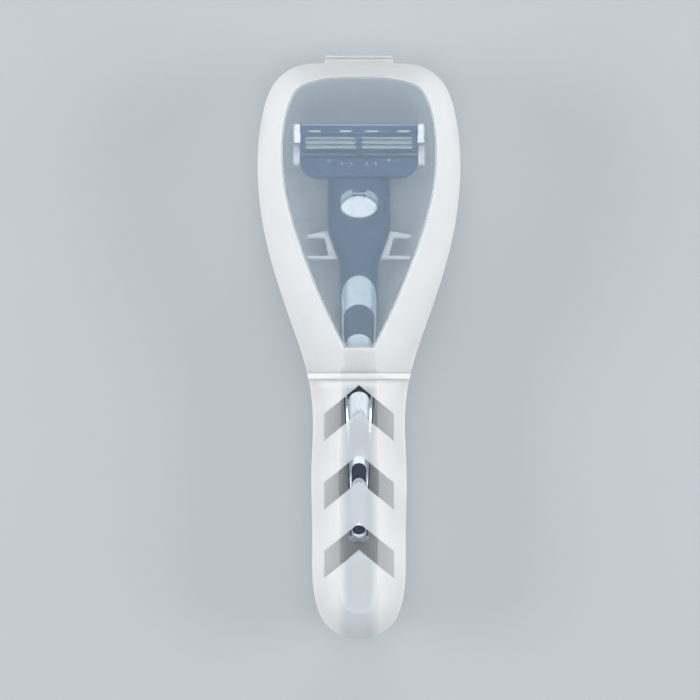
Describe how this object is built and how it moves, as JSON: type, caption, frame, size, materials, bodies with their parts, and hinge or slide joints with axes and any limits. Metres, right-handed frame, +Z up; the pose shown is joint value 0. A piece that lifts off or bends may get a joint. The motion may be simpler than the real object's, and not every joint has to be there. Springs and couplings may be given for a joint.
{
  "type": "razor travel case",
  "caption": "Paddle-shaped frosted travel case with a clear hinged lid and a slotted grip sleeve, holding a razor with a pivoting blade unit and a release button.",
  "frame": {"origin": "under the middle of the case, on the plane it lies on", "axes": "+Y along the case towards the lid's hinge, +Z up from the flat back towards the window, X across"},
  "size_m": [0.0634, 0.1822, 0.028],
  "materials": {
    "frosted_plastic": "frosted, see-through polypropylene; polished flat on the lid",
    "handle_plastic": "dark blue-grey, satin",
    "chrome": "bright plated plastic",
    "grip_rubber": "matt dark rubber",
    "button_metal": "satin silver",
    "bezel_plastic": "silver blue",
    "mechanism_plastic": "unseen moulded pieces",
    "spring_steel": "drawn wire",
    "blade_steel": "ground edge",
    "frame_plastic": "dark blue-grey",
    "arm_plastic": "pale silver",
    "clip_metal": "rolled metal",
    "guard_rubber": "ribbed, matt",
    "strip_polymer": "pale, slightly rough"
  },
  "bodies": {
    "case": {"rear_shell": "frosted_plastic", "sleeve_cover": "frosted_plastic", "hinge_film": "frosted_plastic", "handle_core": "handle_plastic", "neck_cover": "handle_plastic", "button_bezel": "bezel_plastic", "button_spring": "spring_steel", "plunger_spring": "spring_steel", "chrome_spine": "chrome", "grip_pad_1": "grip_rubber", "grip_pad_2": "grip_rubber", "grip_pad_3": "grip_rubber", "grip_pad_4": "grip_rubber", "tail_pad": "grip_rubber", "tail_cap": "chrome"},
    "lid": {"lid": "frosted_plastic"},
    "yoke": {"connector": "handle_plastic", "pivot_arm_left": "arm_plastic", "pivot_arm_right": "arm_plastic", "pivot_pin_left": "spring_steel", "pivot_pin_right": "spring_steel"},
    "blade_unit": {"blade_frame": "frame_plastic", "blade_1": "blade_steel", "blade_2": "blade_steel", "blade_3": "blade_steel", "guard_strip": "guard_rubber", "lubricating_strip": "strip_polymer", "end_clip_left": "clip_metal", "end_clip_right": "clip_metal"},
    "button": {"release_button": "button_metal", "pusher": "mechanism_plastic"},
    "plunger_pin": {"plunger": "mechanism_plastic"}
  },
  "joints": [
    {"name": "lid_hinge", "type": "hinge", "parent": "case", "child": "lid", "pos_m": [0, 0.0906, 0.01445], "axis": [-1, 0, 0], "range_deg": [0, 180]},
    {"name": "cartridge_release", "type": "slide", "parent": "case", "child": "yoke", "axis": [0, 1, 0], "range_m": [0, 0.009]},
    {"name": "blade_pivot", "type": "hinge", "parent": "yoke", "child": "blade_unit", "pos_m": [0, 0.0619, 0.015], "axis": [-1, 0, 0], "range_deg": [0, 40]},
    {"name": "button_slide", "type": "slide", "parent": "case", "child": "button", "axis": [0, 1, 0], "range_m": [0, 0.0023], "stiffness_N_per_m": 400, "springref_m": -0.0005, "deforming": ["button_spring"]},
    {"name": "plunger_slide", "type": "slide", "parent": "case", "child": "plunger_pin", "axis": [0, -1, 0], "range_m": [0, 0.00265], "stiffness_N_per_m": 150, "springref_m": -0.003, "deforming": ["plunger_spring"]}
  ],
  "couplings": [
    {"joint": "blade_pivot", "follows": "plunger_slide", "rad_per_m": 263.4}
  ]
}
